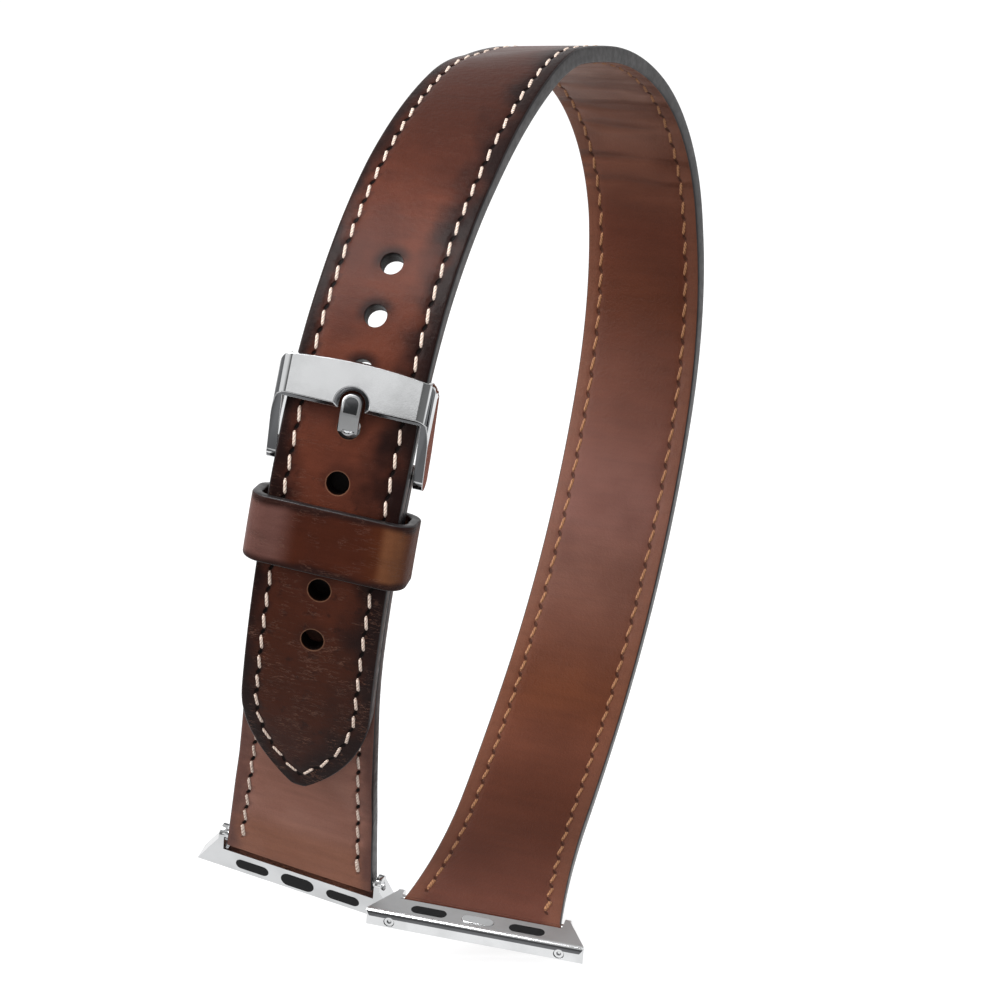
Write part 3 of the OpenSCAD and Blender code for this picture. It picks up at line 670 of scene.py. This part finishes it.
def makeLayer(name, rows, halfAt, seamAt, side, low, high):
    # One flat layer of leather in mm: side is 1 for the outer leather and -1 for the lining.
    columns = len(columnsAt(strap["halfWidth"]))
    bpy.ops.mesh.primitive_grid_add(x_subdivisions=columns - 1, y_subdivisions=len(rows) - 1, size=2)
    piece = nameIt(name)
    co = points(piece)
    xs = np.unique(np.round(co[:, 0], 5))
    ys = np.unique(np.round(co[:, 1], 5))
    face = high if side > 0 else low
    shaped = []
    for x, y, z in co:
        t = rows[int(np.argmin(abs(ys - y)))]
        half = halfAt(t)
        place = columnsAt(half)[int(np.argmin(abs(xs - x)))]
        inset, count, sewn = seamAt(place, t)
        rise = strap["crown"] * (1 - (place / half) ** 2)
        pull = strap["groove"] * math.exp(-((inset - strap["stitchInset"]) / 0.6) ** 2) * sewn
        gap = ((inset - strap["stitchInset"]) / 0.35) ** 2 + ((count % 1 - 0.5) / 0.16) ** 2
        dent = strap["dent"] * math.exp(-gap) * sewn
        shaped.append((place, t, face + side * (rise - pull - dent)))
    setPoints(piece, shaped)
    onlySelect(piece)
    solid = piece.modifiers.new("thickness", "SOLIDIFY")
    solid.thickness = high - low
    solid.offset = -1 if side > 0 else 1
    applyAll(piece)
    # The hidden face is flat, so its points all go to the split.
    co = points(piece)
    co[np.abs(co[:, 2] - face) > (high - low) * 0.5, 2] = low if side > 0 else high
    setPoints(piece, co)
    roundRim(piece, face)
    return piece


def roundRim(piece, face):
    enter("EDIT")
    bpy.ops.mesh.select_all(action="DESELECT")
    mesh = bmesh.from_edit_mesh(piece.data)
    for edge in mesh.edges:
        if len(edge.link_faces) != 2:
            continue
        a, b = (v.co for v in edge.verts)
        onFace = abs(a.z - face) < 0.6 and abs(b.z - face) < 0.6
        walls = [abs(f.normal.z) < 0.5 for f in edge.link_faces]
        if onFace and walls[0] != walls[1]:
            edge.select = True
    mesh.select_flush(True)
    bmesh.update_edit_mesh(piece.data)
    bpy.ops.mesh.bevel(offset=strap["rimRound"], segments=3, affect="EDGES")
    enter("OBJECT")


holePunch = {
    "sides": 40, "depth": 8, "cuts": (0.8, 1.3, 1.43, 1.6, -1.0, -1.3, -1.43, -1.6),
    "straight": 1.05, "flareFrom": 1.0, "flareOver": 0.43, "flareMost": 1.3,
}


def punchHoles(piece):
    # A punch with a flared shoulder leaves the rim of each hole rounded.
    for k in range(strap["holeCount"]):
        at = -(strap["firstHole"] + k * strap["holePitch"])
        bpy.ops.mesh.primitive_cylinder_add(
            vertices=holePunch["sides"], radius=strap["holeRadius"], depth=holePunch["depth"],
            location=(0, at, 0))
        punch = nameIt("punch")
        enter("EDIT")
        for height in holePunch["cuts"]:
            bpy.ops.mesh.select_all(action="SELECT")
            bpy.ops.mesh.bisect(plane_co=(0, 0, height), plane_no=(0, 0, 1))
        enter("OBJECT")
        co = points(punch)
        for point in co:
            level = abs(point[2])
            if level >= holePunch["straight"]:
                flare = min(holePunch["flareMost"], (level - holePunch["flareFrom"]) / holePunch["flareOver"])
                point[:2] *= 1 + strap["holeRound"] / strap["holeRadius"] * flare ** 2
        setPoints(punch, co)
        settle(punch)
        onlySelect(piece)
        cut = piece.modifiers.new("hole", "BOOLEAN")
        cut.operation = "DIFFERENCE"
        cut.solver = "EXACT"
        cut.object = punch
        bpy.ops.object.modifier_apply(modifier=cut.name)
        bpy.data.objects.remove(punch)


def paintEdges(piece, halfAt, leatherEnds):
    # Painted rims take the second material. The folded ends at the bars and the holes stay leather.
    piece.data.update()
    for face in piece.data.polygons:
        x, y, z = face.center
        rim = halfAt(y) - abs(x) < 0.45
        end = any(abs(y - e) < 0.6 for e in leatherEnds)
        tip = y < -frontLength + 0.6
        if (rim or tip) and not end and abs(face.normal.z) < 0.86:
            face.material_index = 1


# Rows of points along each strap, four to a stitch and closer at its ends.
rowStep = strap["stitchPitch"] / 4
tailRows = 24
endRows = (0.5, 0.2, 0)
longCount = int((backLength - straightStart) / rowStep)
longRows = [-frontLength + strap["tailLength"] * i / tailRows for i in range(tailRows)]
longRows += [straightStart + i * rowStep for i in range(longCount)] + [backLength - gap for gap in endRows]
shortCount = int((shortTotal - shortStitches - 0.8) / rowStep)
shortRows = [shortFirst, shortFirst + 0.3] + [shortStitches + i * rowStep for i in range(-6, shortCount)]
shortRows += [shortTotal - gap for gap in endRows]

half = route["halfThick"]
straps = [
    ("long", longRows, longHalf, stitchPhaseLong, longAt, longLeather, [backLength]),
    ("short", shortRows, shortHalf, stitchPhaseShort, underAt, shortLeatherPaintedLight, [shortFirst, shortTotal]),
]
for which, rows, halfAt, seamAt, placeAt, leather, ends in straps:
    rows = sorted(set(round(row, 4) for row in rows))
    layers = [
        ("Outer", 1, strap["split"], half, leather, "dark_leather", "leather"),
        ("Inner", -1, -half, strap["split"], liningLeather, "lining_leather", "lining"),
    ]
    for layer, side, low, high, material, slotName, node in layers:
        piece = makeLayer(which + "Strap" + layer, rows, halfAt, seamAt, side, low, high)
        if which == "long":
            punchHoles(piece)
        markFlat(piece, seamAt)
        piece.data.materials.append(material)
        piece.data.materials.append(edgePaint)
        paintEdges(piece, halfAt, ends)
        layAlong(piece, placeAt)
        smoothTo(piece, 50)
        finishPiece(piece, None, "straps", slotName, which + "_strap_" + node)
print("straps ready")


stitchShape = {
    "length": 2.80, "radius": 0.25, "flat": 0.85, "rise": 0.25, "dive": 0.46,
    "sides": 8, "cuts": (-0.42, -0.3, -0.12, 0.12, 0.3, 0.42), "diveFrom": 0.6,
    "twist": 2.5,                       # mm along the thread for four plies
    "slant": 9.0, "last": 1.35, "lastLong": 1.1,        # degrees, and the larger pair next to the adapter
}
stitchTurn = math.radians(stitchShape["slant"])


def makeStitchModel():
    # One stitch in mm: a short rope that bows up in the middle and dives into the leather at its ends.
    bpy.ops.mesh.primitive_cylinder_add(
        vertices=stitchShape["sides"], radius=stitchShape["radius"], depth=stitchShape["length"],
        rotation=(math.radians(90), 0, 0))
    model = nameIt("stitchModel")
    settle(model)
    enter("EDIT")
    for part in stitchShape["cuts"]:
        bpy.ops.mesh.select_all(action="SELECT")
        bpy.ops.mesh.bisect(plane_co=(0, part * stitchShape["length"], 0), plane_no=(0, 1, 0))
    enter("OBJECT")
    co = points(model)
    for point in co:
        far = abs(point[1]) / (stitchShape["length"] / 2)
        end = max(0, far - stitchShape["diveFrom"]) / (1 - stitchShape["diveFrom"])
        taper = 1 - 0.5 * end
        point[0] *= taper
        point[2] = point[2] * taper * stitchShape["flat"] - stitchShape["dive"] * end ** 1.5
    layer = model.data.uv_layers.get("twist") or model.data.uv_layers.new(name="twist")
    for loop in model.data.loops:
        x, y, z = co[loop.vertex_index]
        layer.data[loop.index].uv = (math.atan2(z, x) / (2 * math.pi) + 0.5, y / stitchShape["twist"])
    for extra in [l for l in model.data.uv_layers if l.name != "twist"]:
        model.data.uv_layers.remove(extra)
    setPoints(model, co)
    onlySelect(model)
    bpy.ops.object.shade_smooth()
    return model


def sewLine(name, model, places, face, slotName, thread, node):
    # Each place is a frame on the strap, its offset across, its turn and its size.
    copies = []
    sunk = strap["groove"] + stitchShape["radius"] * stitchShape["flat"] - stitchShape["rise"]
    for place, x, turn, size in places:
        spot = Matrix.Translation((x, 0, face * (route["halfThick"] - sunk))) @ Matrix.Rotation(turn, 4, "Z")
        growth = Matrix.Diagonal((size, min(size, stitchShape["lastLong"]), face * size ** 0.5, 1))
        at = place @ spot @ growth
        stitch = model.copy()
        stitch.data = model.data.copy()
        stitch.data.transform(Matrix.Scale(mm, 4) @ at)
        bpy.context.scene.collection.objects.link(stitch)
        copies.append(stitch)
    bpy.ops.object.select_all(action="DESELECT")
    for stitch in copies:
        stitch.select_set(True)
    bpy.context.view_layer.objects.active = copies[0]
    bpy.ops.object.join()
    piece = nameIt(name)
    enter("EDIT")
    bpy.ops.mesh.select_all(action="SELECT")
    bpy.ops.mesh.normals_make_consistent(inside=False)
    enter("OBJECT")
    return finishPiece(piece, thread, "straps", slotName, node)


def straightPlaces(placeAt, halfAt, first, last):
    # Pairs of stitches along both edges.
    places = []
    count = int((last - strap["stitchStart"] - first) // strap["stitchPitch"])
    for i in range(count + 1):
        t = first + i * strap["stitchPitch"]
        for side in (-1, 1):
            across = side * (halfAt(t) - strap["stitchInset"])
            places.append((placeAt(t), across, stitchTurn, stitchShape["last"] if i == count else 1.0))
    return places


def tailPlaces():
    # Pairs of stitches round the tail, from its straight part to its tip.
    places = []
    for i in range(tipStitches):
        for side in (-1, 1):
            turned = tipTurn * (i + 0.5) / tipStitches
            t = straightStart - lineRadius * math.sin(turned)
            across = side * (lineRadius * math.cos(turned) - tailMiddle)
            places.append((longAt(t), across, stitchTurn - side * turned, 1.0))
    return places


stitchModel = makeStitchModel()
longPlaces = straightPlaces(longAt, longHalf, straightStart + strap["stitchPitch"] / 2, backLength)
shortPlaces = straightPlaces(underAt, shortHalf, shortStitches, shortTotal)
lines = [("Top", 1, "cream_thread", creamThread), ("Lining", -1, "tan_thread", tanThread)]
for which, places in (("long", longPlaces + tailPlaces()), ("short", shortPlaces)):
    for line, face, slotName, thread in lines:
        node = which + "_strap_" + line.lower() + "_thread"
        sewLine(which + "Strap" + line + "Stitches", stitchModel, places, face, slotName, thread, node)
bpy.data.objects.remove(stitchModel)
print("stitching ready")


keeper = {
    "height": 9.8, "leather": 1.5, "sidePlay": 0.9, "facePlay": 0.35, "corner": 1.6, "steps": 14, "rim": 0.32,
    "bow": 0.10, "bowDepth": 1.6,       # how much the front bows, and how deep below its face
}


def keeperSeam(x, y):
    return keeper["height"] / 2 - abs(y), 0, 0


def keeperAt(y):
    return frontAt(strap["keeper"] + y)


def makeKeeper():
    innerX = strap["halfWidth"] + keeper["sidePlay"]
    innerZ = (2 * route["halfThick"] + route["underStep"]) / 2 + keeper["facePlay"]
    bpy.ops.mesh.primitive_plane_add(size=2, rotation=(math.radians(90), 0, 0))
    piece = nameIt("keeperBand")
    settle(piece)
    enter("EDIT")
    bpy.ops.mesh.select_all(action="SELECT")
    bpy.ops.transform.resize(value=(innerX, 1, innerZ), center_override=(0, 0, 0))
    bpy.ops.mesh.delete(type="ONLY_FACE")
    bpy.ops.mesh.select_all(action="SELECT")
    bpy.ops.mesh.subdivide(number_cuts=1)
    bpy.ops.mesh.select_all(action="DESELECT")
    mesh = bmesh.from_edit_mesh(piece.data)
    for vert in mesh.verts:
        vert.select = abs(abs(vert.co.x) - innerX) < 0.01 and abs(abs(vert.co.z) - innerZ) < 0.01
    mesh.select_flush(True)
    bmesh.update_edit_mesh(piece.data)
    bpy.ops.mesh.bevel(offset=keeper["corner"], segments=8, affect="VERTICES")
    bpy.ops.mesh.select_all(action="SELECT")
    bpy.ops.transform.translate(value=(0, -keeper["height"] / 2, 0))
    step = {"value": (0, keeper["height"] / keeper["steps"], 0)}
    for i in range(keeper["steps"]):
        bpy.ops.mesh.extrude_region_move(TRANSFORM_OT_translate=step)
    bpy.ops.mesh.select_all(action="SELECT")
    bpy.ops.mesh.normals_make_consistent(inside=False)
    enter("OBJECT")
    solid = piece.modifiers.new("leather", "SOLIDIFY")
    solid.thickness = keeper["leather"]
    solid.offset = 1
    solid.use_even_offset = True
    rounding = piece.modifiers.new("rim", "BEVEL")
    rounding.width = keeper["rim"]
    rounding.segments = 3
    rounding.limit_method = "ANGLE"
    rounding.angle_limit = math.radians(60)
    applyAll(piece)
    co = points(piece)
    co[:, 2] -= route["underStep"] / 2
    outerX = innerX + keeper["leather"]
    topZ = innerZ + keeper["leather"] - route["underStep"] / 2
    # The front of the band bows a little over the stitched edges of the strap.
    for point in co:
        if point[2] > topZ - keeper["bowDepth"]:
            point[2] += keeper["bow"] * (1 - (point[0] / outerX) ** 2)
    setPoints(piece, co)
    markFlat(piece, keeperSeam)
    piece.data.materials.append(keeperLeather)
    piece.data.materials.append(edgePaint)
    for face in piece.data.polygons:
        if abs(face.normal.y) > 0.5:
            face.material_index = 1
    layAlong(piece, keeperAt)
    smoothTo(piece, 50)
    return finishPiece(piece, None, "keeper", "dark_leather", "keeper_loop")


makeKeeper()
print("keeper ready")


metalEdge = {"merge": 2e-6, "flatWithin": 0.6, "sharpFrom": 32, "smoothTo": 38}        # metres, then degrees


def polishedCopy(node, name, body, slotName, materials, width, chooser=None, rimMaterial=0, raised=None):
    # The CAD solid's own shape with its sharp edges broken, so that they catch the light.
    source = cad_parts[node]
    piece = bpy.data.objects.new(name, source.data.copy())
    bpy.context.scene.collection.objects.link(piece)
    piece.data.name = name
    onlySelect(piece)
    piece.hide_render = False
    enter("EDIT")
    bpy.ops.mesh.select_all(action="SELECT")
    bpy.ops.mesh.remove_doubles(threshold=metalEdge["merge"])
    bpy.ops.mesh.dissolve_limited(angle_limit=math.radians(metalEdge["flatWithin"]))
    enter("OBJECT")
    piece.data.materials.clear()
    for material in materials:
        piece.data.materials.append(material)
    for face in piece.data.polygons:
        face.material_index = chooser(face) if chooser else 0
    if raised:
        # The second material's faces stand up a little inside a sloping border of the first.
        enter("EDIT")
        bpy.ops.mesh.select_mode(type="FACE")
        bpy.ops.mesh.select_all(action="DESELECT")
        mesh = bmesh.from_edit_mesh(piece.data)
        for face in mesh.faces:
            face.select_set(face.material_index == 1)
        bmesh.update_edit_mesh(piece.data)
        bpy.ops.mesh.inset(thickness=raised[0] * mm, depth=raised[1] * mm)
        mesh = bmesh.from_edit_mesh(piece.data)
        for face in mesh.faces:
            if not face.select:
                face.material_index = 0
        bmesh.update_edit_mesh(piece.data)
        bpy.ops.mesh.select_mode(type="VERT")
        enter("OBJECT")
    broken = piece.modifiers.new("brokenEdges", "BEVEL")
    broken.width = width * mm
    broken.segments = 3
    broken.limit_method = "ANGLE"
    broken.angle_limit = math.radians(metalEdge["sharpFrom"])
    broken.material = rimMaterial
    applyAll(piece)
    smoothTo(piece, metalEdge["smoothTo"])
    flatter = piece.modifiers.new("flatFaces", "WEIGHTED_NORMAL")
    flatter.weight = 100
    flatter.keep_sharp = True
    applyAll(piece)
    return finishPiece(piece, None, body, slotName, node)


pinPlace = underAt(strap["pin"])
pinSpot = pinPlace.translation * mm
downStrap, outOfStrap = pinPlace.col[1].to_3d(), pinPlace.col[2].to_3d()


buckle = {
    "frameEdge": 0.20, "tongueEdge": 0.12,
    # Frame faces given the dark steel as a painted dark reflection: how far they face out of the strap, least
    # and most, and the least they face down it. First the bevels under the bar, then the fronts of the arms.
    "shaded": [(0.45, 0.80, -0.25), (0.88, 0.93, 0.3)],
    # The flat on the tongue's tip, well above the ring round the spring bar, which takes the dark steel as a
    # painted dark reflection, and its sloping border.
    "flatFacing": 0.97, "flatHeight": 2.5, "border": (0.42, 0.14),
}


def frameFaces(face):
    facing, down = face.normal.dot(outOfStrap), face.normal.dot(downStrap)
    return int(any(low < facing < high and down > least for low, high, least in buckle["shaded"]))


def tongueFaces(face):
    height = (face.center - pinSpot).dot(outOfStrap)
    return int(face.normal.dot(outOfStrap) > buckle["flatFacing"] and height > buckle["flatHeight"] * mm)


polishedCopy(
    "buckle_frame", "buckleFrame", "frame", "polished_steel",
    [polishedSteel, shadedSteel, satinSteel], buckle["frameEdge"], frameFaces, 2)
polishedCopy(
    "buckle_tongue", "buckleTongue", "tongue", "polished_steel",
    [satinSteel, shadedSteel], buckle["tongueEdge"], tongueFaces, raised=buckle["border"])

adapter = {
    "railEdge": 0.10, "padEdge": 0.04, "screwEdge": 0.07,
    # Faces in the shaded range take the dark steel, a painted dark reflection.
    "satin": 0.93, "shaded": (-0.74, -0.15),    # how far a face looks out of the strap
}
for which, end in (("long", longAt(backLength)), ("short", underAt(shortTotal))):
    outward = end.to_3x3().col[2].copy()

    def railFaces(face, outward=outward):
        facing = face.normal.dot(outward)
        if abs(facing) > adapter["satin"]:
            return 0
        return 2 if adapter["shaded"][0] < facing < adapter["shaded"][1] else 1

    body = which + "_adapter"
    polishedCopy(
        body + "_rail", which + "Rail", body, "satin_metal",
        [satinSteel, polishedSteel, shadedSteel], adapter["railEdge"], railFaces, 1)
    polishedCopy(
        body + "_latch", which + "Latch", which + "_latch", "polished_steel",
        [polishedSteel], adapter["railEdge"])
    for part in ("wrist", "outer"):
        polishedCopy(
            body + "_" + part + "_pads", which + part.title() + "Pads", body, "black_pad",
            [padBlack], adapter["padEdge"])
    # The screws' broken edges take the dark steel, a painted dark reflection round each.
    polishedCopy(
        body + "_screws", which + "Screws", body, "polished_steel",
        [polishedSteel, shadedSteel], adapter["screwEdge"], rimMaterial=1)

carried = {
    "spring_bar_tube": polishedSteel, "spring_bar_spring": springSteel,
    "spring_bar_left_tip": polishedSteel, "spring_bar_right_tip": polishedSteel,
    "long_adapter_hinge_bar": polishedSteel, "short_adapter_hinge_bar": polishedSteel,
    "long_adapter_latch_spring": springSteel, "short_adapter_latch_spring": springSteel,
    "keeper_seam_thread": tanThread,
}
for node, material in carried.items():
    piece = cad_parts[node]
    piece.data.materials.clear()
    piece.data.materials.append(material)
print("metal ready")


camera = {
    "place": (0.28878, -0.61903, 0.06799),
    "right": (0.90347, 0.41522, -0.10647), "up": (0.01355, 0.22061, 0.97527),
    "ahead": (-0.42844, 0.88257, -0.19369),
    "lens": 159.929,
}


def makeCamera():
    bpy.ops.object.camera_add(location=camera["place"])
    eye = bpy.context.object
    eye.name = "camera"
    turn = Matrix((camera["right"], camera["up"], tuple(-c for c in camera["ahead"]))).transposed()
    eye.matrix_world = Matrix.Translation(camera["place"]) @ turn.to_4x4()
    eye.data.sensor_fit = "HORIZONTAL"
    eye.data.sensor_width = 36
    eye.data.lens = camera["lens"]
    eye.data.clip_start = 0.01
    bpy.context.scene.camera = eye


def lookAt(light, target):
    direction = Vector(target) - light.location
    light.rotation_euler = direction.to_track_quat("-Z", "Y").to_euler()


lamps = [
    # name, place, size, power, colour, whether it shows in glossy surfaces
    ("keySoftbox", (-0.75, -0.80, 0.55), 0.6, 8.0, (1, 0.985, 0.97), True),
    ("fillSoftbox", (0.95, -0.35, 0.15), 0.6, 3.0, (0.97, 0.985, 1), False),
    ("topSoftbox", (-0.08, -0.41, 0.72), 0.4, 5.6, (1, 1, 1), True),
    ("rearSoftbox", (0.25, 0.95, 0.1), 0.8, 3.0, (0.98, 0.99, 1), False),
]
centre = (-0.019, -0.007, -0.064)
studio = {
    "floor": -0.1304, "floorColour": (0.30, 0.30, 0.305, 1), "floorMirrored": (0.05, 0.05, 0.05, 1),
    "floorGlow": 0.86, "floorDim": 0.08,        # as polished metal sees it, under the object and in front
    "tableEdge": (-0.20, -0.11),
    "ambient": 0.62, "room": (0.02, 0.85, 0.10, 0.52),
    # Pale walls: where each starts and is full, and its brightness.
    "left": (-0.20, -0.60, 0.65), "front": (0.935, 0.965, 0.70), "back": (0.76, 0.92, 0.60),
}


def raysSeen(tree):
    # 1 for what the camera sees itself, and 1 for what shines in glossy pieces.
    path = tree.nodes.new("ShaderNodeLightPath").outputs
    return calc(tree, "MAXIMUM", path["Is Camera Ray"], path["Is Transmission Ray"]), path["Is Glossy Ray"]


def makeStudio():
    bpy.ops.mesh.primitive_plane_add(size=6, location=(0, 0, studio["floor"]))
    floor = nameIt("floor")
    settle(floor)
    material, tree, shader = startMaterial("paleFloor")
    seen, glossy = raysSeen(tree)
    y = splitVector(tree, objectPlace(tree))[1]
    near, far = studio["tableEdge"]
    mirrored = between(tree, y, near, far, studio["floorDim"], studio["floorGlow"])
    glow = calc(tree, "MAXIMUM", times(tree, seen, studio["floorGlow"]), times(tree, glossy, mirrored))
    body = blendColour(tree, glossy, studio["floorColour"], studio["floorMirrored"])
    put(tree, shader.inputs["Base Color"], body)
    shader.inputs["Roughness"].default_value = 0.9
    shader.inputs["Specular IOR Level"].default_value = 0.0
    shader.inputs["Emission Color"].default_value = (1, 1, 1, 1)
    put(tree, shader.inputs["Emission Strength"], glow)
    floor.data.materials.append(material)
    for name, place, size, power, colour, shows in lamps:
        bpy.ops.object.light_add(type="AREA", location=place)
        lamp = bpy.context.object
        lamp.name = name
        lamp.data.shape = "SQUARE"
        lamp.data.size = size
        lamp.data.energy = power
        lamp.data.color = colour
        lamp.visible_glossy = shows
        lookAt(lamp, centre)
    world = bpy.data.worlds.new("studio")
    bpy.context.scene.world = world
    world.use_nodes = True
    tree = world.node_tree
    back = tree.nodes["Background"]
    seen, glossy = raysSeen(tree)
    x, y, z = splitVector(tree, tree.nodes.new("ShaderNodeTexCoord").outputs["Generated"])
    # What polished metal and glossy leather see: a dim room with a paler ceiling, and pale walls
    # on the left, in front and at the back.
    room = between(tree, z, *studio["room"])
    ahead = minus(tree, times(tree, x, 0.20), times(tree, y, 0.98))
    for place, wall in ((x, "left"), (ahead, "front"), (y, "back")):
        start, full, bright = studio[wall]
        room = plus(tree, room, between(tree, place, start, full, 0.0, bright))
    plain = times(tree, minus(tree, 1.0, glossy), studio["ambient"])
    other = plus(tree, times(tree, glossy, room), plain)
    back.inputs["Color"].default_value = (1, 1, 1, 1)
    put(tree, back.inputs["Strength"], between(tree, seen, 0.0, 1.0, other, 1.0, smooth=False))
    bpy.context.scene.view_settings.view_transform = "Standard"


makeCamera()
makeStudio()
print("studio ready")
